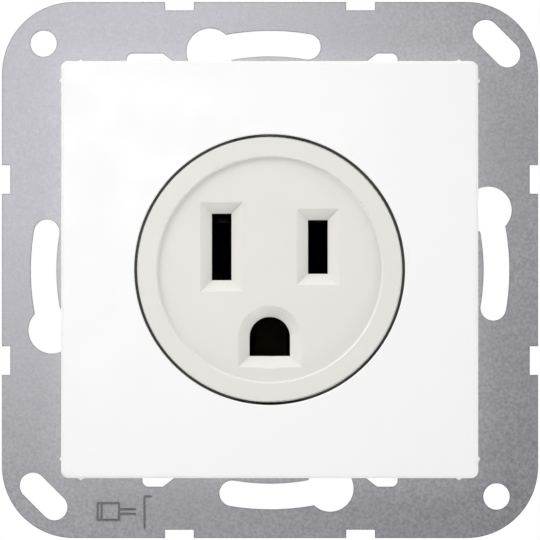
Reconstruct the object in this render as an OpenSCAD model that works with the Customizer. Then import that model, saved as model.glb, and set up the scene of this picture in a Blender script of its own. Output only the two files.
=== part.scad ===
// Flush-mounted grounded socket outlet for two flat blades and a ground pin.
// A steel support frame carries the socket insert, and a square centre plate clips over its face.
// X is to the right and Z is up, as seen from the room. +Y runs into the wall.
// The origin is on the socket's axis, in the plane of the support frame's rear face.

/* [Support frame] */
// Width and height of the sheet steel frame
frame_w = 71; // [69:0.5:86]
// Thickness of the sheet steel
frame_t = 1; // [0.8:0.1:1.5]
// Radius of the frame's outer corners
frame_corner_r = 9.5; // [6:0.5:12]
// Width of the notches in the outer edges
edge_notch_w = 3.8; // [2:0.1:5]
// Depth of the notches in the outer edges
edge_notch_d = 1.1; // [0.5:0.1:2]
// Distance of each edge notch from the middle of its side
edge_notch_x = 12; // [8:0.5:18]
// Radius of the circle that the wall box's screws stand on
box_screw_r = 30; // [29:0.1:30.5]
// Width of the curved slots for the wall box's screws
screw_slot_w = 3.4; // [3:0.1:4]
// Diameter of the keyhole at one end of each curved slot
keyhole_d = 6.2; // [6:0.1:7.4]
// Angle from the middle of the side to the keyhole
keyhole_angle = 15.4; // [13:0.1:17]
// Angle from the middle of the side to the slot's other end
slot_end_angle = 9.6; // [6:0.1:11]
// Diameter of the round corner holes and width of the slanted corner slots
corner_hole_d = 3.5; // [3:0.1:4.5]
// Distance of the corner holes from the frame's sides
corner_hole_inset = 5.5; // [4.5:0.05:6]
// Distance between the two end centres of a slanted corner slot
corner_slot_run = 4; // [2:0.5:6]
// Width of the windows that the centre plate's clips pass through
clip_window_w = 4.4; // [3.6:0.1:5]
// Distance from the middle to each clip window
clip_window_x = 12.5; // [12:0.1:14]
// Extra width of the one window that keys the centre plate
clip_window_key = 2.1; // [0:0.1:3]

/* [Centre plate] */
// Width and height of the centre plate
cover_w = 55; // [54:0.5:66]
// Distance of the plate's front from the frame's rear face
cover_front = 9.5; // [8.5:0.1:12]
// Thickness of the front of the plate
cover_t = 2; // [1.5:0.1:2.4]
// Thickness of the plate's skirt
cover_skirt_t = 1.8; // [1.2:0.1:2.4]
// Radius of the plate's corners
cover_corner_r = 1; // [0.5:0.1:3]
// Radius of the plate's front edges, less than that of its corners
cover_edge_r = 0.4; // [0.1:0.1:0.45]
// Distance of the centring nibs from the middle of each side
nib_x = 25; // [20:0.5:25.5]
// Height of the centring nibs
nib_h = 0.35; // [0.1:0.05:0.5]

/* [Socket face] */
// Diameter of the round face
disc_d = 35; // [33:0.5:42]
// Gap between the round face and the centre plate
disc_gap = 0.35; // [0.2:0.05:0.6]
// Distance of the round face's front from the frame's rear face
disc_front = 9.3; // [8.4:0.1:11]
// Diameter of the shallow recess in the round face
recess_d = 30; // [29:0.5:31]
// Depth of the shallow recess
recess_depth = 0.6; // [0.3:0.1:1]
// Width of the face's flange
flange_w = 46; // [44:0.5:48]
// Height of the face's flange
flange_h = 34; // [33:0.5:36]

/* [Plug pattern] */
// Distance between the two blades
blade_spacing = 12.7; // [12.5:0.1:15.3]
// Height of the blades' centre line above the middle of the face
blade_rise = 3; // [2.6:0.1:3.4]
// Distance from the blades' centre line down to the ground pin
ground_drop = 11.9; // [11.5:0.1:12.1]
// Width of both blade slots
slot_w = 2.6; // [2:0.1:3.2]
// Height of the line slot
line_slot_h = 7.1; // [6.6:0.1:8.6]
// Height of the wider neutral slot
neutral_slot_h = 8.8; // [8.2:0.1:10]
// Diameter of the ground hole's round end
ground_hole_d = 5.35; // [5:0.05:5.6]
// Distance from the ground pin's centre to the hole's flat side
ground_flat = 2.5; // [2.4:0.05:2.7]
// Width of the bevel around each opening
lead_in_w = 1.5; // [1:0.05:1.8]
// Depth of the bevel around each opening
lead_in_d = 1.3; // [0.8:0.1:1.4]

/* [Insert body] */
// Radius of the circle that the insert has to stay inside, to enter a round wall box
insert_r = 27; // [26.5:0.1:28]
// Depth of the insert behind the wall plane
base_depth = 22; // [20:0.5:27]
// Thickness of the base's front flange
base_flange_t = 3.5; // [2.5:0.1:4.1]
// Distance of the terminal wings' outer faces from the middle
wing_reach = 23.5; // [23.3:0.1:24]
// Width of each terminal wing
wing_w = 15; // [14.4:0.1:16]
// Width of the contact retainer
retainer_w = 33; // [32.4:0.1:33.4]
// Height of the contact retainer
retainer_h = 30; // [29.4:0.1:30.4]
// Distance of the assembly screws from the middle, across
assembly_x = 19.8; // [19.6:0.1:20]
// Distance of the assembly screws from the middle, up and down
assembly_z = 12.5; // [12:0.1:12.6]
// Diameter of the assembly screws
assembly_d = 2.9; // [2.5:0.1:3.1]

/* [Contacts] */
// Thickness of the contact strips
strip_t = 0.6; // [0.5:0.05:0.7]
// Width of the blade contacts' jaws
jaw_w = 6.4; // [5.4:0.1:6.6]
// Depth of the blade contacts behind the wall plane
blade_jaw_depth = 12.8; // [12.4:0.1:13.4]
// Depth of the ground contact behind the wall plane
ground_jaw_depth = 14.6; // [14:0.1:14.8]
// Thickness of the steel springs round the jaws
jaw_spring_t = 0.5; // [0.3:0.1:0.6]

/* [Terminals] */
// Distance from the middle to the face that a wire is clamped on
terminal_x = 17; // [16.8:0.1:17.2]
// Depth of the terminal screws behind the wall plane
terminal_y = 9; // [8.8:0.1:9.4]
// Diameter of the terminal screws
thread_d = 3.5; // [3:0.1:4.2]
// Pitch of the terminal screws
thread_pitch = 0.6; // [0.5:0.1:0.7]
// Length of the terminal screws under the head
screw_len = 7; // [6.8:0.1:7.4]
// Diameter of the terminal screws' heads
screw_head_d = 6.4; // [6:0.1:6.8]
// Height of the terminal screws' heads
screw_head_h = 2.2; // [1.8:0.1:2.3]
// Gap for the wires under a clamp plate when it is open
clamp_gap = 2.8; // [2.4:0.1:2.9]
// Thickness of the clamp plates
clamp_t = 1.2; // [1:0.1:1.3]
// Thickness of the threaded nut plates
nut_t = 2; // [1.6:0.1:2]
// Diameter of the wire entry holes
wire_hole_d = 3.6; // [3:0.1:4]
// Distance of each wire entry from the screw's axis
wire_z = 3.3; // [3.1:0.1:3.7]

/* [Hidden] */
$fn = 96;

// Clearances
cut = 1;                // how far a cutting shape runs past the surface it opens
loose = 0.3;            // round pieces that are lifted off or dropped in
close = 0.1;            // between moulded and stamped pieces that locate each other
running = 0.05;         // radial clearance of a screw in its hole

// Depths, as y values. Negative is in front of the wall.
frame_y = -frame_t;
cover_y = -cover_front;
disc_y = -disc_front;
recess_y = disc_y + recess_depth;
lead_in_y = recess_y + lead_in_d;
face_wall = 1.6;                              // least thickness of the face behind the recess
disc_back_y = recess_y + face_wall;           // inner side of the round face
flange_y = -6;                                // front of the face's flange
ceiling_y = flange_y + 1.6;                   // the retainer lies against this
retainer_wall = 1.4;
mouth_y = ceiling_y + retainer_wall + 0.6;    // tips of the contact jaws
skirt_y = frame_y - loose;                    // rear edge of the centre plate

// Places across
blade_x = blade_spacing / 2;
ground_z = blade_rise - ground_drop;
disc_r = disc_d / 2;
opening_r = disc_r + disc_gap;
cover_half = cover_w / 2;
clip_window_in = cover_half - 3;
clip_window_out = cover_half + 1.2;
corner_hole_at = frame_w / 2 - corner_hole_inset;

// ---------- Helpers ----------

// A box between two corners
module block(a, b) {
    translate(a) cube(b - a);
}

// Extrudes what is drawn across the wall, (x, z), from depth y0 to y1
module slab(y0, y1) {
    translate([0, y1, 0]) rotate([90, 0, 0]) linear_extrude(y1 - y0) children();
}

// Extrudes what is drawn in plan, (x, y), from height z0 to z1
module course(z0, z1) {
    translate([0, 0, z0]) linear_extrude(z1 - z0) children();
}

// A rod along Y
module rod_y(r, y0, y1, x = 0, z = 0) {
    translate([x, y0, z]) rotate([-90, 0, 0]) cylinder(r = r, h = y1 - y0);
}

// A rod along X
module rod_x(r, x0, x1, y = 0, z = 0) {
    translate([x0, y, z]) rotate([0, 90, 0]) cylinder(r = r, h = x1 - x0);
}

// A rectangle with round corners, centred, in 2D
module round_rect(w, h, r) {
    square([w - 2 * r, h], center = true);
    square([w, h - 2 * r], center = true);
    for (x = [-1, 1], z = [-1, 1]) translate([x * (w / 2 - r), z * (h / 2 - r)]) circle(r);
}

// A slot between two points, in 2D
module slot_2d(a, b, w) {
    run = b - a;
    translate(a) circle(w / 2);
    translate(b) circle(w / 2);
    translate(a) rotate(atan2(run[1], run[0])) translate([0, -w / 2]) square([norm(run), w]);
}

// The line terminal is drawn on the +X side. These turn it into the other two.
module at_neutral() rotate([0, 180, 0]) children();
module at_ground() rotate([0, 90, 0]) children();

// Offset of point i of a centre line, for a strip of thickness t
function heading(a, b) = (b - a) / norm(b - a);
function side(d) = [-d[1], d[0]];
function edge_point(path, i, t) =
    let (
        last = len(path) - 1,
        d0 = heading(path[max(i - 1, 0)], path[max(i, 1)]),
        d1 = heading(path[min(i, last - 1)], path[min(i + 1, last)]),
        n = heading([0, 0], side(d0) + side(d1))
    )
    path[i] + n * (t / 2) / (n * side(d1));
function strip_outline(path, t) = concat(
    [for (i = [0:len(path) - 1]) edge_point(path, i, t)],
    [for (i = [len(path) - 1:-1:0]) edge_point(path, i, -t)]
);

// ---------- Support frame ----------

// Curved slot for a wall box screw, at the top of the frame, with its keyhole on the left
module box_screw_slot_2d() {
    for (end = [[keyhole_angle, keyhole_d], [-slot_end_angle, screw_slot_w]])
        rotate(end[0]) translate([0, box_screw_r]) circle(end[1] / 2);
    reach = 2 * box_screw_r;
    intersection() {
        difference() {
            circle(box_screw_r + screw_slot_w / 2);
            circle(box_screw_r - screw_slot_w / 2);
        }
        polygon([
            [0, 0],
            reach * [sin(slot_end_angle), cos(slot_end_angle)],
            reach * [-sin(keyhole_angle), cos(keyhole_angle)]
        ]);
    }
}

// Window for a clip, right of the middle at the top. Its inner corner is cut off at the clip's lead.
module clip_window_2d(extra = 0) {
    far = clip_window_x + clip_window_w + extra;
    corner = 0.8;
    slope = [1.7, 1.3];
    difference() {
        translate([clip_window_x, clip_window_in])
            square([far - clip_window_x, clip_window_out - clip_window_in]);
        translate([far - corner, clip_window_out - corner]) square(corner + cut);
        polygon([
            [clip_window_x, clip_window_out - slope[1]],
            [clip_window_x + slope[0], clip_window_out],
            [clip_window_x + slope[0], clip_window_out + 0.01],
            [clip_window_x - cut, clip_window_out + 0.01],
            [clip_window_x - cut, clip_window_out - slope[1]]
        ]);
    }
    translate([far - corner, clip_window_out - corner]) circle(corner);
}

// Plain gauge engraved for the length of bare wire: a wire's end and the mark it reaches to
module strip_gauge() {
    line = 0.18;
    depth = 0.2;
    mark = [-16.7, -34.2];
    wire = [-22.9, -33.2];
    sheath = [3, 2.4];
    core_z = 0.8;
    slab(frame_y - cut, frame_y + depth) {
        translate(mark) square([line, 4.3]);
        translate(mark + [0, 4.3 - line]) square([1, line]);
        translate(wire) {
            difference() {
                square(sheath);
                translate([line, line]) square(sheath - 2 * [line, line]);
            }
            translate([0.5, 0]) square([line, sheath[1]]);
            for (z = [core_z, sheath[1] - core_z - line])
                translate([sheath[0] - line, z]) square([2.3, line]);
        }
    }
}

module support_frame() {
    opening_gap = loose;
    color("silver") difference() {
        slab(frame_y, 0) difference() {
            round_rect(frame_w, frame_w, frame_corner_r);
            for (turn = [0:90:270]) rotate(turn) {
                box_screw_slot_2d();
                for (x = [-1, 1]) translate([x * edge_notch_x, frame_w / 2])
                    square([edge_notch_w, 2 * edge_notch_d], center = true);
            }
            for (s = [-1, 1]) {
                translate([-s, s] * corner_hole_at) circle(corner_hole_d / 2);
                shift = corner_slot_run / 2 * [1, -1] / sqrt(2);
                translate([s, s] * corner_hole_at) slot_2d(-shift, shift, corner_hole_d);
            }
            clip_window_2d();
            mirror([1, 0]) clip_window_2d(clip_window_key);
            mirror([0, 1]) clip_window_2d();
            rotate(180) clip_window_2d();
            round_rect(retainer_w + 2 * opening_gap, retainer_h + 2 * opening_gap, 1.5);
        }
        assembly_holes(assembly_d / 2 + close, frame_y - cut, cut);
        rod_y(strap_rivet_r + running, frame_y - cut, cut, 0, -strap_rivet_z);
        strip_gauge();
    }
}

// ---------- Centre plate ----------

clip_w = clip_window_w - 1.2;                 // width of a clip
clip_t = 0.4;                                 // thickness of a clip
clip_x = clip_window_x + clip_window_w / 2;   // middle of a clip
clip_z = clip_window_in + 0.6;                // middle of a clip's thickness
clip_root_y = cover_y + cover_t + 0.4;

// One of the four clip places: children are drawn at the upper right one
module clip_places() {
    children();
    mirror([1, 0, 0]) children();
    mirror([0, 0, 1]) {
        children();
        mirror([1, 0, 0]) children();
    }
}

// A stiffening rib of the centre plate, between its skirt and the space for the insert
module cover_ribs() {
    rib_t = 1;
    back = skirt_y - 1.7;
    inner = cover_half - cover_skirt_t + 0.1;
    for (u = [-9, 0, 9], s = [-1, 1]) {
        block([u - rib_t / 2, cover_y + 1, s > 0 ? flange_h / 2 + 0.5 : -inner],
            [u + rib_t / 2, back, s > 0 ? inner : -flange_h / 2 - 0.5]);
        block([s > 0 ? flange_w / 2 + loose : -inner, cover_y + 1, u - rib_t / 2],
            [s > 0 ? inner : -flange_w / 2 - loose, back, u + rib_t / 2]);
    }
}

// The plate's outer shape: two crossing blocks and four round corners, with one front edge radius
module cover_block() {
    straight = cover_half - cover_corner_r;
    course(-straight, straight) cover_edge_2d(-cover_half, cover_half);
    rotate([0, 90, 0]) course(-straight, straight) cover_edge_2d(-cover_half, cover_half);
    for (x = [-1, 1], z = [-1, 1]) translate([x * straight, 0, z * straight])
        turned() cover_edge_2d(0, cover_corner_r);
}

// Section of the plate from the front to the skirt's rear edge. An end at 0 is left square, to be turned.
module cover_edge_2d(from, to) {
    r = cover_edge_r;
    inner_from = from < 0 ? from + r : from;
    translate([from, cover_y + r]) square([to - from, skirt_y - cover_y - r]);
    translate([inner_from, cover_y]) square([to - r - inner_from, skirt_y - cover_y]);
    translate([to - r, cover_y + r]) circle(r);
    if (from < 0) translate([from + r, cover_y + r]) circle(r);
}

module cover_plate() {
    collar_t = 1.5;
    collar_y = flange_y - loose;
    inner = cover_w - 2 * cover_skirt_t;
    color("white") difference() {
        union() {
            difference() {
                cover_block();
                slab(cover_y + cover_t, skirt_y + cut) square(inner, center = true);
            }
            rod_y(opening_r + collar_t, cover_y + 1, collar_y);
            cover_ribs();
            // posts that hold the clips
            clip_places() block(
                [clip_x - clip_w / 2 - 0.8, cover_y + 1, clip_z - clip_t / 2 - 0.8],
                [clip_x + clip_w / 2 + 0.8, skirt_y - 1.2, cover_half - cover_skirt_t + 0.1]);
            // centring nibs
            for (turn = [0:90:270], x = [-1, 1]) rotate([0, turn, 0])
                slab(skirt_y - 3, skirt_y) translate([x * nib_x, cover_half])
                    polygon([[-0.45, -0.1], [0.45, -0.1], [0.45, 0], [0, nib_h], [-0.45, 0]]);
        }
        rod_y(opening_r, cover_y - cut, skirt_y + cut);
        // its front edge is broken
        translate([0, cover_y - cut, 0]) rotate([-90, 0, 0])
            cylinder(r1 = opening_r + 0.1 + cut, r2 = opening_r - cut, h = 0.1 + 2 * cut);
        clip_places() block(
            [clip_x - clip_w / 2, clip_root_y, clip_z - clip_t / 2],
            [clip_x + clip_w / 2, skirt_y + cut, clip_z + clip_t / 2]);
    }
}

// Flat springs that hold the centre plate: each bulges inward behind its window's edge
module cover_clips() {
    bulge = 0.9;
    path = [[clip_root_y, clip_z], [0.2, clip_z], [1.2, clip_z - bulge], [2.4, clip_z + 0.2]];
    color("lightgray") clip_places()
        translate([clip_x + clip_w / 2, 0, 0]) rotate([90, 0, -90])
            linear_extrude(clip_w) polygon([for (p = strip_outline(path, clip_t)) [-p[0], p[1]]]);
}

// ---------- Socket face ----------

// The plug's three openings in 2D, each grown by the same margin
module blade_slot_2d(s, h, grow = 0) {
    translate([s * blade_x, blade_rise]) square([slot_w + 2 * grow, h + 2 * grow], center = true);
}

module ground_hole_2d(grow = 0) {
    r = ground_hole_d / 2 + grow;
    translate([0, ground_z]) intersection() {
        union() {
            circle(r);
            translate([-r, -2 * r]) square([2 * r, 2 * r]);
        }
        translate([-r, -ground_flat - grow]) square([2 * r, ground_flat + grow + r]);
    }
}

module plug_openings_2d(grow = 0) {
    blade_slot_2d(1, line_slot_h, grow);
    blade_slot_2d(-1, neutral_slot_h, grow);
    ground_hole_2d(grow);
}

// Half profile of a bevel in plan, for a part of an opening that is half_w wide
function bevel_profile(half_w) = let (out = half_w + lead_in_w, past = lead_in_w * cut / lead_in_d) [
    [out + past, recess_y - cut], [half_w, lead_in_y], [-half_w, lead_in_y], [-out - past, recess_y - cut]
];

// Bevelled lead-in of a rectangular opening: two crossing prisms, so that it stays a true frustum
module rect_lead_in(w, h) {
    reach = lead_in_w + h;
    intersection() {
        course(-reach, reach) polygon(bevel_profile(w / 2));
        rotate([0, 90, 0]) course(-reach, reach) polygon(bevel_profile(h / 2));
    }
}

// Bevelled lead-in of the ground hole: a cone over its round end, prisms below it
module ground_lead_in() {
    r = ground_hole_d / 2;
    past = lead_in_w * cut / lead_in_d;
    deep = lead_in_w + r + cut;
    translate([0, recess_y - cut, ground_z]) rotate([-90, 0, 0])
        cylinder(r1 = r + lead_in_w + past, r2 = r, h = lead_in_d + cut);
    translate([0, 0, ground_z]) intersection() {
        course(-deep - cut, 0) polygon(bevel_profile(r));
        rotate([0, 90, 0]) course(-deep, deep) polygon(bevel_profile(ground_flat));
    }
}

// Turns a half section, (radius, y), about the Y axis
module turned() {
    rotate([-90, 0, 0]) rotate_extrude() children();
}

// Half section of the round face, its rim rounded
module disc_2d() {
    r = 0.25;
    translate([0, disc_y]) square([disc_r - r, ceiling_y - disc_y]);
    translate([0, disc_y + r]) square([disc_r, ceiling_y - disc_y - r]);
    translate([disc_r - r, disc_y + r]) circle(r);
}

// Half section of the shallow recess, with a round inner corner
module recess_2d() {
    r = min(0.3, recess_depth - 0.05);
    translate([0, disc_y - cut]) square([recess_d / 2 - r, recess_depth + cut]);
    translate([0, disc_y - cut]) square([recess_d / 2, recess_depth + cut - r]);
    translate([recess_d / 2 - r, recess_y - r]) circle(r);
}

module assembly_holes(r, y0, y1) {
    for (x = [-1, 1], z = [-1, 1]) rod_y(r, y0, y1, x * assembly_x, z * assembly_z);
}

module socket_face() {
    disc_wall = 2;
    tube_wall = 1.2;
    seat_w = retainer_w + 2 * close;
    seat_h = retainer_h + 2 * close;
    pilot_end = flange_y + 1;
    core = 1.5;
    difference() {
        color("ivory") union() {
            difference() {
                turned() disc_2d();
                slab(disc_back_y, ceiling_y + cut) difference() {
                    circle(disc_r - disc_wall);
                    plug_openings_2d(tube_wall);
                }
            }
            difference() {
                slab(flange_y, frame_y) round_rect(flange_w, flange_h, 2);
                slab(flange_y - cut, ceiling_y + cut) circle(disc_r - 0.1);
                slab(ceiling_y, frame_y + cut) square([seat_w, seat_h], center = true);
                // cored pockets beside the screw bosses
                for (s = [-1, 1]) slab(ceiling_y, frame_y + cut)
                    translate([s * (seat_w / 2 + flange_w / 2) / 2, 0])
                        square([flange_w / 2 - seat_w / 2 - 2 * core, 2 * assembly_z - 7], center = true);
            }
        }
        turned() recess_2d();
        slab(recess_y - cut, ceiling_y + cut) plug_openings_2d();
        translate([blade_x, 0, blade_rise]) rect_lead_in(slot_w, line_slot_h);
        translate([-blade_x, 0, blade_rise]) rect_lead_in(slot_w, neutral_slot_h);
        ground_lead_in();
        assembly_holes(assembly_d / 2 + running, pilot_end, frame_y + cut);
    }
}

// ---------- Contact retainer and base ----------

jaw_root = 1.25;                              // half distance of a blade jaw's leaves at its root
blade_chamber = blade_x - 2.8;                // inner side of a blade contact's chamber
ground_jaw_w = 5;
nut_inner_x = terminal_x - strip_t - nut_t;
pocket_half = wing_w / 2 - 1.5;               // half width of a terminal pocket
pocket_y0 = 4.2;
pocket_y1 = 15;
terminal_half = 4;                            // half width of a strip at its terminal
tail_half = 2.4;                              // half width of a strip's tail

// A blade contact's chamber in 2D, the same height for both poles
module blade_chamber_2d() {
    for (s = [-1, 1]) translate([s * blade_x, blade_rise]) square([5.6, neutral_slot_h + 0.8], center = true);
}

module contact_retainer() {
    margin = 0.1;
    color("dimgray") {
        difference() {
            slab(ceiling_y, 0) round_rect(retainer_w, retainer_h, 1.2);
            slab(ceiling_y - cut, cut) plug_openings_2d(margin);
            slab(ceiling_y + retainer_wall, cut) {
                blade_chamber_2d();
                translate([0, ground_z]) square([7.6, ground_jaw_w + 1.4], center = true);
            }
        }
        // pegs that locate it in the base
        for (s = [-1, 1]) rod_y(1.2, -cut, 3, s * retainer_peg_x, -retainer_peg_z);
    }
}
retainer_peg_x = 11.5;
retainer_peg_z = 11;

// Outline of the base behind its flange: a middle block and three terminal wings
module base_body_2d() {
    translate([-15, -14.5]) square([30, 24.5]);
    translate([-wing_reach, -wing_w / 2]) square([2 * wing_reach, wing_w]);
    translate([-wing_w / 2, -wing_reach]) square([wing_w, wing_reach]);
}

// Chamber of the line contact, opened from the front, with the seat for its nut plate
module blade_cavity() {
    floor_y = blade_jaw_depth;
    block([nut_inner_x - running, -cut, -terminal_half - 2 * close],
        [terminal_x, floor_y, terminal_half + 2 * close]);
    block([blade_x, -cut, -tail_half - 2 * close], [terminal_x, floor_y, tail_half + 2 * close]);
}

module ground_cavity() {
    floor_y = ground_jaw_depth;
    block([nut_inner_x - strap_t - running, -cut, -terminal_half - 2 * close],
        [terminal_x, floor_y, terminal_half + 2 * close]);
    block([-ground_z, -cut, -tail_half - 2 * close], [terminal_x, floor_y, tail_half + 2 * close]);
}

// Terminal pocket, open to the side, and its two wire entries from the rear
module terminal_pocket() {
    block([terminal_x, pocket_y0, -pocket_half], [wing_reach + cut, pocket_y1, pocket_half]);
    for (s = [-1, 1])
        rod_y(wire_hole_d / 2, pocket_y1 - cut, base_depth + cut, terminal_x + wire_hole_d / 2, s * wire_z);
}

module rear_base() {
    floor_t = 2.2;
    core_y = blade_jaw_depth + floor_t;
    ground_core_y = ground_jaw_depth + floor_t;
    color([0.16, 0.16, 0.17]) difference() {
        union() {
            slab(0, base_flange_t) intersection() {
                circle(insert_r);
                translate([-wing_reach, -wing_reach]) square([2 * wing_reach, wing_reach + 19.5]);
            }
            slab(base_flange_t - 0.1, base_depth) base_body_2d();
        }
        slab(-cut, blade_jaw_depth) blade_chamber_2d();
        blade_cavity();
        at_neutral() blade_cavity();
        slab(-cut, ground_jaw_depth) translate([0, ground_z]) square([8, ground_jaw_w + 2], center = true);
        at_ground() ground_cavity();
        terminal_pocket();
        at_neutral() terminal_pocket();
        at_ground() terminal_pocket();
        // seat of the ground strap and of its rivet's head
        block([-strap_half - close, -cut, -strap_end - close], [strap_half + close, strap_t + running, -terminal_x + 2]);
        rod_y(strap_rivet_head_r + 2 * close, -cut, strap_t + strap_rivet_head_h + 2 * close, 0, -strap_rivet_z);
        assembly_holes(assembly_d / 2 + close, -cut, base_flange_t + cut);
        for (s = [-1, 1]) rod_y(1.2 + running, -cut, 3 + close, s * retainer_peg_x, -retainer_peg_z);
        // cored pockets in the rear, with ribs between them
        for (s = [-1, 1], z = [[-4.6, -0.6], [0.6, 6.4]])
            slab(core_y, base_depth + cut) translate([s * 7.6 - 5.5, z[0]]) square([11, z[1] - z[0]]);
        slab(ground_core_y, base_depth + cut) translate([-5.5, ground_z - 3.2]) square([11, 5]);
    }
}

// Screws that join the base, the frame and the face
module assembly_screws() {
    head_r = 2.6;
    head_h = 1.9;
    tip_y = flange_y + 1.3;
    color("gainsboro") for (x = [-1, 1], z = [-1, 1]) translate([x * assembly_x, 0, z * assembly_z])
        difference() {
            union() {
                rod_y(assembly_d / 2, tip_y, base_flange_t + 0.1);
                rod_y(head_r, base_flange_t, base_flange_t + head_h);
            }
            for (turn = [0, 90]) rotate([0, turn, 0])
                block([-1.5, base_flange_t + head_h - 1, -0.35], [1.5, base_flange_t + head_h + cut, 0.35]);
        }
}

// ---------- Contacts ----------

// Centre line of a pair of jaws in plan: flared mouth, narrow grip, round-cornered root
function jaw_path(mouth, grip, root, floor_y) =
    let (
        bend = 0.8,
        half = [
            [mouth, mouth_y],
            [grip, 0.8],
            for (a = [0:30:90]) [root - bend + bend * cos(a), floor_y - bend + bend * sin(a)]
        ]
    )
    concat(half, [for (i = [len(half) - 1:-1:0]) [-half[i][0], half[i][1]]]);

// The end of a strip at its terminal, with the tail that leads to it
module terminal_strip(from_x, floor_y) {
    difference() {
        union() {
            block([from_x, floor_y - strip_t, -tail_half], [terminal_x, floor_y, tail_half]);
            block([terminal_x - strip_t, pocket_y0 + 0.4, -terminal_half], [terminal_x, floor_y, terminal_half]);
        }
        rod_x(thread_d / 2 + running, terminal_x - cut, terminal_x + cut, terminal_y);
    }
}

module line_contact() {
    path = jaw_path(1.75, 0.9, jaw_root, blade_jaw_depth - strip_t / 2);
    color("goldenrod") union() {
        translate([blade_x, 0, 0]) course(blade_rise - jaw_w / 2, blade_rise + jaw_w / 2)
            polygon(strip_outline(path, strip_t));
        terminal_strip(blade_x, blade_jaw_depth);
    }
}

module neutral_contact() {
    mirror([1, 0, 0]) line_contact();
}

module ground_contact() {
    path = jaw_path(3.1, 2.45, 2.8, ground_jaw_depth - strip_t / 2);
    color("goldenrod") union() {
        course(ground_z - ground_jaw_w / 2, ground_z + ground_jaw_w / 2) polygon(strip_outline(path, strip_t));
        at_ground() terminal_strip(-ground_z, ground_jaw_depth);
    }
}

// A clip of spring steel that presses a pair of jaws together. It hooks over them from above.
module jaw_spring(half, width, y0, y1) {
    path = [[-half, -width / 2 + 0.4], [-half, width / 2 + 0.35], [half, width / 2 + 0.35], [half, -width / 2 + 0.4]];
    color("lightsteelblue") slab(y0, y1) polygon(strip_outline(path, jaw_spring_t));
}
spring_y = [2, 7];
blade_spring_half = jaw_root + strip_t / 2 + 0.15;

module line_jaw_spring() {
    translate([blade_x, 0, blade_rise]) jaw_spring(blade_spring_half, jaw_w, spring_y[0], spring_y[1]);
}

module neutral_jaw_spring() {
    translate([-blade_x, 0, blade_rise]) jaw_spring(blade_spring_half, jaw_w, spring_y[0], spring_y[1]);
}

module ground_jaw_spring() {
    translate([0, 0, ground_z]) jaw_spring(3.3, ground_jaw_w, spring_y[0], spring_y[1]);
}

// Ground strap: from the ground terminal forward to the support frame, then down along it
strap_t = 0.8;
strap_half = 3.2;
strap_rivet_r = 1.5;
strap_rivet_z = 20;
strap_rivet_head_r = 2.4;
strap_rivet_head_h = 0.7;
strap_end = strap_rivet_z + 2.8;

module ground_strap() {
    outer = terminal_x - strip_t;
    color("silver") difference() {
        union() {
            at_ground() block([outer - strap_t, 0, -strap_half], [outer, 12, strap_half]);
            block([-strap_half, 0, -strap_end], [strap_half, strap_t, -outer + strap_t]);
        }
        at_ground() rod_x(thread_d / 2 + running, outer - cut - strap_t, outer + cut, terminal_y);
        rod_y(strap_rivet_r + running, -cut, strap_t + cut, 0, -strap_rivet_z);
    }
}

module ground_strap_rivet() {
    color("gainsboro") {
        rod_y(strap_rivet_r, frame_y - 0.1, strap_t + 0.1, 0, -strap_rivet_z);
        rod_y(strap_rivet_head_r, frame_y - strap_rivet_head_h, frame_y, 0, -strap_rivet_z);
        rod_y(strap_rivet_head_r, strap_t, strap_t + strap_rivet_head_h, 0, -strap_rivet_z);
    }
}

// ---------- Terminals ----------

// Threaded plate behind a contact strip, on the +X side
module nut_plate(outer_x) {
    difference() {
        block([outer_x - nut_t, terminal_y - 3.2, -terminal_half], [outer_x, terminal_y + 3, terminal_half]);
        rod_x(thread_d / 2 + running, outer_x - nut_t - cut, outer_x + cut, terminal_y);
    }
}

// Plate that the screw presses on the wires, on the +X side, at its open position
module clamp_plate() {
    inner = terminal_x + clamp_gap;
    half = pocket_half - 1;
    corner = 0.8;
    difference() {
        translate([inner, terminal_y, 0]) rotate([0, 90, 0]) linear_extrude(clamp_t) difference() {
            square([2 * half, 7], center = true);
            for (x = [-1, 1], y = [-1, 1]) translate([x * half, y * 3.5]) rotate(45) square(corner, center = true);
        }
        rod_x(thread_d / 2 + 3 * running, inner - cut, inner + clamp_t + cut, terminal_y);
    }
}

// Terminal screw on the +X side, with a combined slot and cross in its head
module terminal_screw() {
    under = terminal_x + clamp_gap + clamp_t + close;
    top = under + screw_head_h;
    rim = 0.5;
    tip = 0.4;
    difference() {
        union() {
            rod_x(thread_d / 2, under - screw_len + tip, under + 0.1, terminal_y);
            translate([under - screw_len, terminal_y, 0]) rotate([0, 90, 0])
                cylinder(r1 = thread_d / 2 - tip, r2 = thread_d / 2, h = tip);
            rod_x(screw_head_d / 2, under, top - rim, terminal_y);
            translate([top - rim, terminal_y, 0]) rotate([0, 90, 0])
                cylinder(r1 = screw_head_d / 2, r2 = screw_head_d / 2 - rim, h = rim);
        }
        block([top - 0.9, terminal_y - screw_head_d, -0.45], [top + cut, terminal_y + screw_head_d, 0.45]);
        block([top - 1.5, terminal_y - 1.7, -0.45], [top + cut, terminal_y + 1.7, 0.45]);
        block([top - 1.5, terminal_y - 0.45, -1.7], [top + cut, terminal_y + 0.45, 1.7]);
    }
}

nut_outer_x = terminal_x - strip_t;

module line_nut_plate() color("darkgray") nut_plate(nut_outer_x);
module neutral_nut_plate() color("darkgray") at_neutral() nut_plate(nut_outer_x);
module ground_nut_plate() color("darkgray") at_ground() nut_plate(nut_outer_x - strap_t);
module line_clamp_plate() color("khaki") clamp_plate();
module neutral_clamp_plate() color("silver") at_neutral() clamp_plate();
module ground_clamp_plate() color("silver") at_ground() clamp_plate();
module line_terminal_screw() color("gold") terminal_screw();
module neutral_terminal_screw() color("gainsboro") at_neutral() terminal_screw();
module ground_terminal_screw() color("seagreen") at_ground() terminal_screw();

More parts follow.
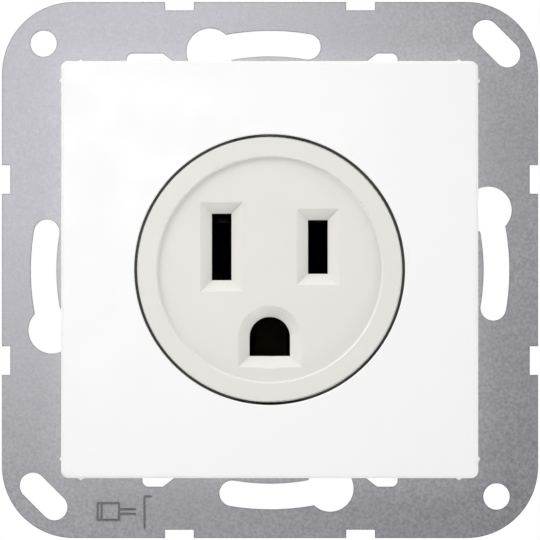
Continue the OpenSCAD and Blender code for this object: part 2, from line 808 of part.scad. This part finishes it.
cover_plate();
cover_clips();
socket_face();
support_frame();
contact_retainer();
rear_base();
assembly_screws();
line_contact();
neutral_contact();
ground_contact();
line_jaw_spring();
neutral_jaw_spring();
ground_jaw_spring();
line_nut_plate();
neutral_nut_plate();
ground_nut_plate();
line_clamp_plate();
neutral_clamp_plate();
ground_clamp_plate();
line_terminal_screw();
neutral_terminal_screw();
ground_terminal_screw();
ground_strap();
ground_strap_rivet();
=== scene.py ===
import math

import bmesh
import bpy
from mathutils import Matrix, Vector


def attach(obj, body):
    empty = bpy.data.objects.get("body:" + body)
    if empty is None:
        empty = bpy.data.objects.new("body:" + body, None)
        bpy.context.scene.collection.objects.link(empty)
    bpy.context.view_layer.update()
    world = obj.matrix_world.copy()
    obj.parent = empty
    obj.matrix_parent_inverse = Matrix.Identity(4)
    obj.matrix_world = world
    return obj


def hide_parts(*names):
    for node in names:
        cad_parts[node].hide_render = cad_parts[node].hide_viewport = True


MM = 0.001
NEAR = 0.01 * MM            # a distance smaller than this counts as none
SHARP = math.radians(32)    # edges that turn further than this are rounded
SHADED = math.radians(38)   # edges that still turn further than this afterwards stay crisp

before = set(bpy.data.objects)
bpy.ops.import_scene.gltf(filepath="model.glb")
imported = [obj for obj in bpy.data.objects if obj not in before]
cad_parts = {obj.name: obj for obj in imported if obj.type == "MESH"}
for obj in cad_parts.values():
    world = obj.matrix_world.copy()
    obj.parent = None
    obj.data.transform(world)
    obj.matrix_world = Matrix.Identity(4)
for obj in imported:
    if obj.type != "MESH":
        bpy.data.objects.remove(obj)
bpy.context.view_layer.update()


# ---------- Materials ----------

PLASTIC_SHADE_REACH_MM = 2.5        # how far a gap's walls may stand off a plastic surface and still paint shade on it
METAL_SHADE_REACH_MM = 10.0         # the same for metal
# The Mix node's inputs and outputs by place, because their names repeat
MIX_FACTOR, COLOUR_A, COLOUR_B, COLOUR_OUT = 0, 6, 7, 2
FLOAT_A, FLOAT_B, FLOAT_OUT = 2, 3, 0


def scaled(colour, factor):
    """A colour made darker or lighter, and not brighter than white."""
    return tuple(min(1, c * factor) for c in colour)


def material(name, metallic, ior=1.5):
    """An empty principled material with object coordinates, in millimetres."""
    mat = bpy.data.materials.new(name)
    mat.use_nodes = True
    tree = mat.node_tree
    shader = tree.nodes["Principled BSDF"]
    shader.inputs["Metallic"].default_value = metallic
    shader.inputs["IOR"].default_value = ior
    where = tree.nodes.new("ShaderNodeTexCoord")
    scale = tree.nodes.new("ShaderNodeMapping")
    scale.inputs["Scale"].default_value = (1000, 1000, 1000)
    tree.links.new(where.outputs["Object"], scale.inputs["Vector"])
    return mat, tree, shader, scale.outputs["Vector"]


def noise(tree, vector, size_mm, detail=2.0, rough=0.5, stretch=None):
    """Noise whose features are about size_mm across, optionally stretched along an axis."""
    node = tree.nodes.new("ShaderNodeTexNoise")
    node.inputs["Scale"].default_value = 1.0 / size_mm
    node.inputs["Detail"].default_value = detail
    node.inputs["Roughness"].default_value = rough
    if stretch:
        shape = tree.nodes.new("ShaderNodeMapping")
        shape.inputs["Scale"].default_value = stretch
        tree.links.new(vector, shape.inputs["Vector"])
        vector = shape.outputs["Vector"]
    tree.links.new(vector, node.inputs["Vector"])
    return node.outputs["Fac"]


def between(tree, value, low, high, from_low=0.3, from_high=0.7):
    """Maps a value from one range to another; left alone, the first is a noise's usual range."""
    node = tree.nodes.new("ShaderNodeMapRange")
    node.inputs["From Min"].default_value = from_low
    node.inputs["From Max"].default_value = from_high
    node.inputs["To Min"].default_value = low
    node.inputs["To Max"].default_value = high
    tree.links.new(value, node.inputs["Value"])
    return node.outputs["Result"]


def math_node(tree, kind, a, b):
    """One step of arithmetic on two values, each a number or a socket."""
    node = tree.nodes.new("ShaderNodeMath")
    node.operation = kind
    for socket, value in zip(node.inputs, (a, b)):
        if isinstance(value, (int, float)):
            socket.default_value = value
        else:
            tree.links.new(value, socket)
    return node.outputs["Value"]


def mix_colour(tree, factor, a, b):
    """Mixes two colours, each a tuple or a socket."""
    node = tree.nodes.new("ShaderNodeMix")
    node.data_type = "RGBA"
    for place, value in ((MIX_FACTOR, factor), (COLOUR_A, a), (COLOUR_B, b)):
        socket = node.inputs[place]
        if isinstance(value, (int, float)):
            socket.default_value = value
        elif isinstance(value, tuple):
            socket.default_value = (*value, 1.0)
        else:
            tree.links.new(value, socket)
    return node.outputs[COLOUR_OUT]


def near_edge(tree, radius_mm):
    """1 on a piece's edges, 0 further in than the radius: how far the normal turns when rounded."""
    round_normal = tree.nodes.new("ShaderNodeBevel")
    round_normal.samples = 6
    round_normal.inputs["Radius"].default_value = radius_mm * MM
    geometry = tree.nodes.new("ShaderNodeNewGeometry")
    turn = tree.nodes.new("ShaderNodeVectorMath")
    turn.operation = "DOT_PRODUCT"
    tree.links.new(round_normal.outputs["Normal"], turn.inputs[0])
    tree.links.new(geometry.outputs["Normal"], turn.inputs[1])
    return between(tree, turn.outputs["Value"], 1.0, 0.0, 0.80, 0.995)


def open_air(tree, reach_mm, closed=0.18, free=0.5):
    """Mask for painted shade, from ambient occlusion: 0 deep in a narrow gap, 1 on open surfaces; closed
    and free are the open shares at the two ends.
    """
    node = tree.nodes.new("ShaderNodeAmbientOcclusion")
    node.samples = 8
    node.inputs["Distance"].default_value = reach_mm * MM
    return between(tree, node.outputs["AO"], 0.0, 1.0, closed, free)


def bump(tree, shader, heights, distance_mm):
    """Sums (height, strength) pairs into the shader's normal."""
    total = None
    for height, strength in heights:
        part = math_node(tree, "MULTIPLY", height, strength)
        total = part if total is None else math_node(tree, "ADD", total, part)
    node = tree.nodes.new("ShaderNodeBump")
    node.inputs["Distance"].default_value = distance_mm * MM
    tree.links.new(total, node.inputs["Height"])
    tree.links.new(node.outputs["Normal"], shader.inputs["Normal"])


def moulded(name, colour, rough, grain_mm, grain, variation=0.02, wear=0.04, spec=0.5):
    """Injection-moulded plastic: faint flow mottling, fine grain, slightly polished outer edges,
    near-black painted shade in narrow gaps.
    """
    mat, tree, shader, at = material(name, 0.0)
    dark, light = scaled(colour, 1 - variation), scaled(colour, 1 + variation)
    polished = tuple(min(1, c + 0.3 * (1 - c)) for c in colour)
    flow = noise(tree, at, size_mm=9.0, detail=3.0, rough=0.55, stretch=(1.0, 1.0, 0.45))
    mottle = noise(tree, at, size_mm=0.35)
    base = mix_colour(tree, between(tree, flow, 0.25, 0.75), dark, light)
    base = mix_colour(tree, between(tree, mottle, 0.0, 0.35), base, dark)
    patches = between(tree, noise(tree, at, size_mm=1.3, detail=3.0), 0.3, 1.0)
    rim = math_node(tree, "MULTIPLY", near_edge(tree, radius_mm=0.2), patches)
    base = mix_colour(tree, math_node(tree, "MULTIPLY", rim, wear), base, polished)
    # Painted shade: the colour falls to near black deep in narrow gaps.
    base = mix_colour(tree, open_air(tree, PLASTIC_SHADE_REACH_MM), scaled(colour, 0.03), base)
    tree.links.new(base, shader.inputs["Base Color"])
    fine = noise(tree, at, grain_mm, detail=3.0, rough=0.6)
    polish = between(tree, noise(tree, at, size_mm=5.0), rough - 0.035, rough + 0.035)
    roughness = math_node(tree, "SUBTRACT", polish, math_node(tree, "MULTIPLY", rim, 0.05))
    tree.links.new(roughness, shader.inputs["Roughness"])
    shader.inputs["Specular IOR Level"].default_value = spec
    waves = noise(tree, at, size_mm=3.0, detail=1.0)
    bump(tree, shader, [(fine, grain), (waves, 0.35)], distance_mm=0.01)
    return mat


def sheet_metal(name, colour, rough, speckle, rolled=0.22, along=(1.0, 1.0, 0.12), grain_mm=0.30,
                rim=0.35, rim_mm=0.16, rim_gain=1.35, closed=0.06, free=0.25):
    """Metal sheet or strip: rolling lines, grain, clouding, edges brighter or darker than the face,
    painted shade beside walls and near-black painted shade in narrow gaps.
    """
    mat, tree, shader, at = material(name, 1.0)
    dark, light = scaled(colour, 0.72), scaled(colour, 1.25)
    grain = noise(tree, at, grain_mm, rough=0.6)
    lines = noise(tree, at, size_mm=0.22, rough=0.6, stretch=along)
    cloud = noise(tree, at, size_mm=7.0, detail=4.0, rough=0.6)
    base = mix_colour(tree, between(tree, grain, 0.5 - speckle, 0.5 + speckle), dark, light)
    base = mix_colour(tree, between(tree, lines, 0.0, rolled), base, dark)
    base = mix_colour(tree, between(tree, cloud, 0.0, 0.12), base, dark)
    edge = math_node(tree, "MULTIPLY", near_edge(tree, rim_mm), rim)
    base = mix_colour(tree, edge, base, scaled(colour, rim_gain))
    # Painted shade beside walls: the two shares swapped make this 1 beside a wall and 0 in the open
    painted_wall_shade = math_node(tree, "MULTIPLY", open_air(tree, METAL_SHADE_REACH_MM, closed=0.9, free=0.45), 0.16)
    base = mix_colour(tree, painted_wall_shade, base, scaled(colour, 0.3))
    # Painted shade: the colour falls to near black deep in narrow gaps.
    base = mix_colour(tree, open_air(tree, METAL_SHADE_REACH_MM, closed, free), scaled(colour, 0.03), base)
    tree.links.new(base, shader.inputs["Base Color"])
    tree.links.new(between(tree, grain, rough - 0.05, rough + 0.05), shader.inputs["Roughness"])
    bump(tree, shader, [(grain, 0.8), (lines, 2 * rolled)], distance_mm=0.010)
    return mat


def sheared(name, colour):
    """The cut edge of stamped sheet: a smooth burnished band, then a rough torn one."""
    mat, tree, shader, at = material(name, 1.0)
    streaks = noise(tree, at, size_mm=0.12, detail=3.0, rough=0.7, stretch=(1.0, 0.12, 1.0))
    depth = tree.nodes.new("ShaderNodeSeparateXYZ")
    tree.links.new(at, depth.inputs["Vector"])
    torn = between(tree, depth.outputs["Y"], 0.0, 1.0, from_low=-0.62, from_high=-0.45)
    base = mix_colour(tree, between(tree, streaks, 0.0, 1.0), scaled(colour, 0.6), colour)
    base = mix_colour(tree, math_node(tree, "MULTIPLY", torn, 0.55), base, scaled(colour, 0.45))
    tree.links.new(base, shader.inputs["Base Color"])
    roughness = between(tree, torn, 0.38, 0.62, from_low=0.0, from_high=1.0)
    tree.links.new(roughness, shader.inputs["Roughness"])
    bump(tree, shader, [(streaks, 1.0)], distance_mm=0.02)
    return mat


WHITE = moulded("white_satin_plastic", (0.885, 0.885, 0.882),
                rough=0.34, grain_mm=0.12, grain=0.25, variation=0.006)
IVORY = moulded("warm_white_plastic", (0.745, 0.732, 0.692),
                rough=0.40, grain_mm=0.10, grain=0.4, variation=0.012)
BLACK = moulded("black_thermoset", (0.022, 0.022, 0.024),
                rough=0.44, grain_mm=0.12, grain=1.3, variation=0.16, wear=0.30)
INNER = moulded("dark_inner_plastic", (0.010, 0.010, 0.011),
                rough=0.62, grain_mm=0.09, grain=0.9, variation=0.10, wear=0.05, spec=0.2)
# The dark rim along the steel's stamped edges is painted shade.
GALVANISED = sheet_metal("galvanised_sheet", (0.47, 0.468, 0.50), rough=0.42, speckle=0.36, rolled=0.05,
                         grain_mm=0.38, rim=0.9, rim_mm=0.3, rim_gain=0.25, closed=0.16, free=0.38)
CUT_EDGE = sheared("sheared_edge", (0.34, 0.34, 0.36))
ENGRAVED = sheet_metal("engraved_line", (0.36, 0.36, 0.38), rough=0.5, speckle=0.30, rolled=0.05,
                       rim=0.0, closed=0.0, free=0.02)
SPRING = sheet_metal("spring_steel", (0.42, 0.42, 0.43), rough=0.34, speckle=0.3)
BRONZE = sheet_metal("bronze_strip", (0.45, 0.26, 0.13), rough=0.36, speckle=0.3)
PLATED = {"speckle": 0.3, "rolled": 0.1, "along": (1.0, 1.0, 1.0)}
ZINC = sheet_metal("zinc_plate", (0.66, 0.67, 0.69), rough=0.30, **PLATED)
BRASS = sheet_metal("brass_plate", (0.78, 0.56, 0.20), rough=0.28, **PLATED)
NICKEL = sheet_metal("nickel_plate", (0.66, 0.64, 0.60), rough=0.27, **PLATED)
GREEN = sheet_metal("green_dyed_plate", (0.06, 0.30, 0.14), rough=0.33, **PLATED)


# ---------- Meshes ----------

WELD_MM = 0.002             # points of the CAD mesh closer than this are one
SLIVER_MM = 0.001           # edges shorter than this are dropped from it
ROUNDED_SLIVER_MM = 0.0005  # the same once its edges are rounded
COPLANAR = math.radians(0.25)


def welded(node):
    """The CAD node's shape as one closed mesh with its flat faces whole."""
    bm = bmesh.new()
    bm.from_mesh(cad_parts[node].data)
    bmesh.ops.remove_doubles(bm, verts=bm.verts, dist=WELD_MM * MM)
    bmesh.ops.dissolve_degenerate(bm, edges=bm.edges, dist=SLIVER_MM * MM)
    bmesh.ops.dissolve_limit(bm, angle_limit=COPLANAR, verts=bm.verts, edges=bm.edges)
    return bm


def is_sharp(edge, limit=SHARP):
    """Whether the two faces at an edge turn away from each other by more than the limit."""
    return len(edge.link_faces) == 2 and edge.calc_face_angle(0.0) > limit


def round_edges(bm, width_mm, segments=2, skip=None):
    """Rounds the mesh's sharp edges by a small radius, as moulds and stamping tools leave them."""
    chosen = [e for e in bm.edges if is_sharp(e) and not (skip and skip(e))]
    bmesh.ops.bevel(bm, geom=chosen, offset=width_mm * MM, offset_type="OFFSET", segments=segments,
                    profile=0.5, affect="EDGES", clamp_overlap=True)


def level(edge):
    """Whether an edge runs square to the part's depth."""
    return abs(edge.verts[0].co.y - edge.verts[1].co.y) < NEAR


def fill_open_edges(bm):
    """Closes every hole left in the mesh."""
    bmesh.ops.holes_fill(bm, edges=[e for e in bm.edges if e.is_boundary])


SHORT_STEP, LONG_STEP = 0.3 * MM, 2.5 * MM    # a CAD circle's straight steps are between these


def refine_rounds(bm, inner_mm, outer_mm, cuts=3):
    """Splits the straight steps of the rings round the part's axis. The new points go onto the ring."""
    def reach(point):
        return math.hypot(point.x, point.z)
    ring = bm.verts.layers.float.new("ring")
    for v in bm.verts:
        v[ring] = reach(v.co)
    steps = [e for e in bm.edges if level(e) and abs(e.verts[0][ring] - e.verts[1][ring]) < NEAR
             and inner_mm * MM < e.verts[0][ring] < outer_mm * MM
             and SHORT_STEP < e.calc_length() < LONG_STEP]
    made = bmesh.ops.subdivide_edges(bm, edges=steps, cuts=cuts, use_grid_fill=True)
    for item in made["geom_inner"]:
        if isinstance(item, bmesh.types.BMVert) and item[ring] > 0:
            grow = item[ring] / reach(item.co)
            item.co.x, item.co.z = item.co.x * grow, item.co.z * grow
    bm.verts.layers.float.remove(ring)


def finish_piece(bm, name, body, nodes, slot, *materials, picker=None):
    """Makes the mesh a piece that rides on its body and stands for its CAD nodes."""
    bmesh.ops.dissolve_degenerate(bm, edges=bm.edges, dist=ROUNDED_SLIVER_MM * MM)
    for face in bm.faces:
        face.smooth = True
        face.material_index = picker(face) if picker else 0
    for edge in bm.edges:
        edge.smooth = not is_sharp(edge, SHADED)
    mesh = bpy.data.meshes.new(name)
    bm.to_mesh(mesh)
    bm.free()
    for mat in materials:
        mesh.materials.append(mat)
    obj = bpy.data.objects.new(name, mesh)
    bpy.context.scene.collection.objects.link(obj)
    normals = obj.modifiers.new("even_shading", "WEIGHTED_NORMAL")
    normals.keep_sharp = True
    normals.weight = 100
    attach(obj, body)
    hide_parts(*nodes)
    return obj


def soften(node, body, slot, mat, width_mm, segments=2, rings=None):
    """The CAD node as a piece with rounded edges and, where rings are given, finer circles."""
    bm = welded(node)
    if rings:
        refine_rounds(bm, *rings)
    round_edges(bm, width_mm, segments)
    return finish_piece(bm, node + "_shape", body, [node], slot, mat)


OPENING_RINGS = (17.0, 20.0)       # radii between which the plate's opening lies
RECESS_RINGS = (13.8, 18.0, 1)     # the same for the face's recess and rim, and one cut for each step
cover = soften("cover_plate", "cover", "white_plastic", WHITE, width_mm=0.06, rings=OPENING_RINGS)
face = soften("socket_face", "insert", "ivory_plastic", IVORY, width_mm=0.05, rings=RECESS_RINGS)
soften("rear_base", "insert", "black_plastic", BLACK, width_mm=0.25)
soften("contact_retainer", "insert", "grey_plastic", INNER, width_mm=0.15)
soften("cover_clips", "cover", "spring_steel", SPRING, width_mm=0.06)
soften("assembly_screws", "insert", "zinc_plated_steel", ZINC, width_mm=0.12)
for pole in ("line", "neutral", "ground"):
    soften(pole + "_contact", "insert", "contact_bronze", BRONZE, width_mm=0.06)
    soften(pole + "_jaw_spring", "insert", "spring_steel", SPRING, width_mm=0.06)
    soften(pole + "_nut_plate", "insert", "zinc_plated_steel", ZINC, width_mm=0.12)

# A screw's shank, in millimetres, as it lies along +X
SHANK_START, SHANK_END, SHANK_R, SCREW_Y = 14.1, 21.1, 1.745, 9.0
HEAD_OVERLAP = 0.02
PITCH = 0.6
THREAD_DEPTH = 0.6 * PITCH
THREAD_WELD_MM = 0.001
TIP_CHAMFER = 0.4
ROOT_HALF, FLANK = 0.1, 0.33              # as parts of a pitch
PROFILE = (0.07, 0.4, 0.6, 0.93)          # the places in a pitch where crest, flanks and root meet
RIDGE_STEP, RIDGE_DEPTH, RIDGES_EACH_WAY = 0.35, 0.16, 8    # the clamp plates' ridges


def thread_radius(x, angle):
    """Radius of a right-hand thread at a place on its axis and an angle round it, in millimetres."""
    phase = ((x - SHANK_START) / PITCH - angle / math.tau) % 1.0
    flank = min(max((abs(phase - 0.5) - ROOT_HALF) / FLANK, 0.0), 1.0)
    thread = SHANK_R - THREAD_DEPTH + THREAD_DEPTH * flank
    return min(thread, SHANK_R - TIP_CHAMFER + (x - SHANK_START))


def add_thread(bm, around=36):
    """Adds the screw's threaded shank, along +X, as a closed shape."""
    turns = math.ceil((SHANK_END - SHANK_START) / PITCH) + 1
    steps = [k + part for k in range(-1, turns) for part in PROFILE]
    columns = []
    for j in range(around + 1):
        angle = math.tau * j / around
        column = []
        for step in steps:
            x = min(max(SHANK_START + (step + angle / math.tau) * PITCH, SHANK_START), SHANK_END)
            r = thread_radius(x, angle)
            y, z = SCREW_Y + r * math.cos(angle), r * math.sin(angle)
            column.append(bm.verts.new((x * MM, y * MM, z * MM)))
        columns.append(column)
    for left, right in zip(columns, columns[1:]):
        for a, b, c, d in zip(left, left[1:], right[1:], right):
            bm.faces.new((a, b, c, d))
    new = [v for column in columns for v in column]
    bmesh.ops.remove_doubles(bm, verts=new, dist=THREAD_WELD_MM * MM)
    fill_open_edges(bm)


def cut(bm, at, normal, clear_inner=False):
    """Cuts every face along a plane, and clears away what lies behind it if asked."""
    bmesh.ops.bisect_plane(bm, geom=bm.verts[:] + bm.edges[:] + bm.faces[:], plane_co=at, plane_no=normal,
                           clear_inner=clear_inner)


def turned_to_x(node, turn_deg):
    """The CAD node's mesh turned about Y to lie on +X, and the rotation that takes it back."""
    bm = welded(node)
    turn = Matrix.Rotation(math.radians(turn_deg), 4, "Y")
    bm.transform(turn.inverted())
    bm.normal_update()
    return bm, turn


def terminal_screw(pole, slot, mat, turn_deg):
    """The CAD screw's head with a cut thread below it."""
    node = pole + "_terminal_screw"
    bm, turn = turned_to_x(node, turn_deg)
    cut(bm, ((SHANK_END - HEAD_OVERLAP) * MM, 0, 0), (1, 0, 0), clear_inner=True)
    fill_open_edges(bm)
    round_edges(bm, 0.1)
    add_thread(bm)
    bmesh.ops.recalc_face_normals(bm, faces=bm.faces)
    bm.transform(turn)
    return finish_piece(bm, node + "_shape", pole + "_screw", [node], slot, mat)


def clamp_plate(pole, turn_deg):
    """The CAD clamp plate with ridges across the wire on both faces."""
    node = pole + "_clamp_plate"
    bm, turn = turned_to_x(node, turn_deg)
    round_edges(bm, 0.12)
    outer, inner = max(v.co.x for v in bm.verts), min(v.co.x for v in bm.verts)
    middle = (max(v.co.y for v in bm.verts) + min(v.co.y for v in bm.verts)) / 2
    for k in range(-RIDGES_EACH_WAY, RIDGES_EACH_WAY + 1):
        cut(bm, (0, middle + k * RIDGE_STEP * MM, 0), (0, 1, 0))
    for v in bm.verts:
        place = (v.co.y - middle) / (RIDGE_STEP * MM)
        ridged = abs(place) <= RIDGES_EACH_WAY
        groove = RIDGE_DEPTH * MM * abs((place + 1) % 2 - 1) if ridged else 0.0
        if outer - v.co.x < NEAR:
            v.co.x -= groove
        elif v.co.x - inner < NEAR:
            v.co.x += groove
    bm.transform(turn)
    return finish_piece(bm, node + "_shape", pole + "_clamp", [node], "zinc_plated_steel", ZINC)


for pole, slot, mat, turn_deg in (("line", "brass_screw", BRASS, 0),
                                  ("neutral", "silver_screw", NICKEL, 180),
                                  ("ground", "green_screw", GREEN, 90)):
    terminal_screw(pole, slot, mat, turn_deg)
    clamp_plate(pole, turn_deg)
soften("ground_strap", "insert", "galvanised_steel", GALVANISED, width_mm=0.1)
soften("ground_strap_rivet", "insert", "zinc_plated_steel", ZINC, width_mm=0.2, segments=3)


# The steel sheet, in millimetres: its front face is at y = -1 and its back at y = 0
FRONT_FACE, MID_SHEET = -1.0, -0.5
GAUGE_LOW, GAUGE_HIGH = (-23.2, -34.6), (-15.4, -29.6)    # the engraved gauge's box in x and z
CORNER_AT, CORNER_R = 26.0, 9.5                           # the rounded corners' centres and radius
KEYHOLE_RADII = (28.3, 31.7)                              # the curved slots' two long sides
ENGRAVED_FROM, SHEARED_FROM = 0.01, 0.03                  # depths where those surfaces begin
STEEP = 0.3                                               # the most a cut wall's normal leans forwards
ARC_TOLERANCE, QUADRANT_TOLERANCE = 0.06, 0.05


def in_gauge(point):
    """Whether a point lies in the engraved gauge, on the sheet's front half."""
    x, y, z = point / MM
    return GAUGE_LOW[0] < x < GAUGE_HIGH[0] and GAUGE_LOW[1] < z < GAUGE_HIGH[1] and y < MID_SHEET


def frame_picker(face):
    """The face's material: 0 the sheet's surface, 1 its sheared outlines, 2 the engraved lines."""
    middle = face.calc_center_median()
    depth = middle.y / MM - FRONT_FACE
    if in_gauge(middle) and depth > ENGRAVED_FROM:
        return 2
    return 1 if abs(face.normal.y) < STEEP and depth > SHEARED_FROM else 0


def refine_arc(bm, centre, radius_mm, cuts=3, outward=None):
    """Splits the straight steps of an arc about a centre in (x, z). The new points go onto the arc."""
    def on_arc(point):
        arm = Vector((point.x / MM - centre[0], point.z / MM - centre[1]))
        if outward and min(arm.x * outward[0], arm.y * outward[1]) < -QUADRANT_TOLERANCE:
            return False
        return abs(arm.length - radius_mm) < ARC_TOLERANCE
    steps = [e for e in bm.edges if level(e) and on_arc(e.verts[0].co) and on_arc(e.verts[1].co)
             and e.calc_length() > SHORT_STEP]
    made = bmesh.ops.subdivide_edges(bm, edges=steps, cuts=cuts)
    for item in made["geom_inner"]:
        if isinstance(item, bmesh.types.BMVert):
            arm = Vector((item.co.x / MM - centre[0], item.co.z / MM - centre[1]))
            arm = arm.normalized() * radius_mm
            item.co.x, item.co.z = (centre[0] + arm.x) * MM, (centre[1] + arm.y) * MM


bm = welded("support_frame")
for sx in (-1, 1):
    for sz in (-1, 1):
        refine_arc(bm, (CORNER_AT * sx, CORNER_AT * sz), CORNER_R, outward=(sx, sz))
for radius in KEYHOLE_RADII:
    refine_arc(bm, (0.0, 0.0), radius)
round_edges(bm, 0.09, skip=lambda edge: all(in_gauge(v.co) for v in edge.verts))
steel = finish_piece(bm, "support_frame_shape", "insert", ["support_frame"], "galvanised_steel",
                     GALVANISED, CUT_EDGE, ENGRAVED, picker=frame_picker)


# ---------- Studio ----------

def area_light(name, at, size, power):
    """A soft lamp that faces the part and isn't seen itself. Place and size in metres, power in watts."""
    data = bpy.data.lights.new(name, "AREA")
    data.shape = "RECTANGLE"
    data.size, data.size_y = size
    data.energy = power
    obj = bpy.data.objects.new(name, data)
    bpy.context.scene.collection.objects.link(obj)
    obj.location = at
    obj.rotation_mode = "QUATERNION"
    obj.rotation_quaternion = (-Vector(at)).to_track_quat("-Z", "Y")
    obj.visible_camera = False
    return obj


def group_of(name, *objects):
    """A collection outside the scene, which only a lamp's linking looks at."""
    group = bpy.data.collections.new(name)
    for obj in objects:
        group.objects.link(obj)
    return group


# A small lamp just off the camera's axis makes the sheet steel shine. It lights only the pieces
# in front, and only the frame holds it back, so the plate throws no hard edge on the steel.
front = area_light("front", (-0.022, -0.25, 0.022), (0.05, 0.05), 0.088)
front.light_linking.receiver_collection = group_of("front_pieces", cover, face, steel)
front.light_linking.blocker_collection = group_of("front_blockers", steel)
area_light("key", (-0.33, -0.30, 0.33), (0.24, 0.24), 1.0)
low_fill = area_light("low_fill", (0.24, -0.10, -0.52), (0.25, 0.25), 1.2)
low_fill.light_linking.receiver_collection = group_of("plastic_pieces", cover, face)
area_light("rear_key", (-0.35, 0.45, 0.40), (0.60, 0.60), 3.6)
area_light("rear_fill", (0.50, 0.50, 0.05), (0.45, 0.45), 2.0)

# The room: dark round the camera's axis and level with the frame's edges, bright between
world = bpy.data.worlds.new("studio")
bpy.context.scene.world = world
world.use_nodes = True
tree = world.node_tree
background = tree.nodes["Background"]
background.inputs["Color"].default_value = (1, 1, 1, 1)
direction = tree.nodes.new("ShaderNodeTexCoord")
split = tree.nodes.new("ShaderNodeSeparateXYZ")
tree.links.new(direction.outputs["Generated"], split.inputs["Vector"])
strength = tree.nodes.new("ShaderNodeValToRGB")
strength.color_ramp.interpolation = "EASE"
# Each stop: its place from behind the part, 0, round to the camera's side, 1, and its brightness
ROOM = ((0.0, 0.45), (0.45, 0.25), (0.52, 0.10), (0.58, 1.5), (0.80, 1.5), (0.93, 0.0))
stops = strength.color_ramp.elements
while len(stops) < len(ROOM):
    stops.new(0.5)
for stop, (place, bright) in zip(stops, ROOM):
    stop.position = place
    stop.color = (bright, bright, bright, 1)
towards_camera = between(tree, split.outputs["Y"], 0.0, 1.0, from_low=1.0, from_high=-1.0)
tree.links.new(towards_camera, strength.inputs["Fac"])
path = tree.nodes.new("ShaderNodeLightPath")
seen = tree.nodes.new("ShaderNodeMix")
tree.links.new(path.outputs["Is Camera Ray"], seen.inputs[MIX_FACTOR])
tree.links.new(strength.outputs["Color"], seen.inputs[FLOAT_A])
seen.inputs[FLOAT_B].default_value = 1.0    # the white backdrop
tree.links.new(seen.outputs[FLOAT_OUT], background.inputs["Strength"])

FLOOR_HALF, FLOOR_Z = 6.0, -3.0    # metres
floor_mesh = bpy.data.meshes.new("floor")
corners = [(x * FLOOR_HALF, y * FLOOR_HALF, FLOOR_Z) for x, y in ((-1, -1), (1, -1), (1, 1), (-1, 1))]
floor_mesh.from_pydata(corners, [], [(0, 1, 2, 3)])
floor_mat, _, floor_shader, _ = material("pale_floor", 0.0)
floor_shader.inputs["Base Color"].default_value = (0.85, 0.85, 0.85, 1)
floor_shader.inputs["Roughness"].default_value = 0.8
floor_mesh.materials.append(floor_mat)
floor = bpy.data.objects.new("floor", floor_mesh)
bpy.context.scene.collection.objects.link(floor)

camera_data = bpy.data.cameras.new("camera")
camera = bpy.data.objects.new("camera", camera_data)
bpy.context.scene.collection.objects.link(camera)
camera_data.lens = 900
camera_data.sensor_width = 36
camera_data.clip_end = 20          # metres
WIDTH_SEEN = 71.52 * MM            # at the sheet's front face
SIDE, DROP = 9 * MM, 12 * MM       # how far the camera stands off the part's axis
distance = WIDTH_SEEN / 2 / (camera_data.sensor_width / 2 / camera_data.lens)
aim = Vector((0, -MM, 0))
camera.location = aim + Vector((SIDE, -distance, -DROP))
camera.rotation_mode = "QUATERNION"
camera.rotation_quaternion = (aim - camera.location).to_track_quat("-Z", "Y")
bpy.context.scene.camera = camera
bpy.context.scene.view_settings.view_transform = "Standard"
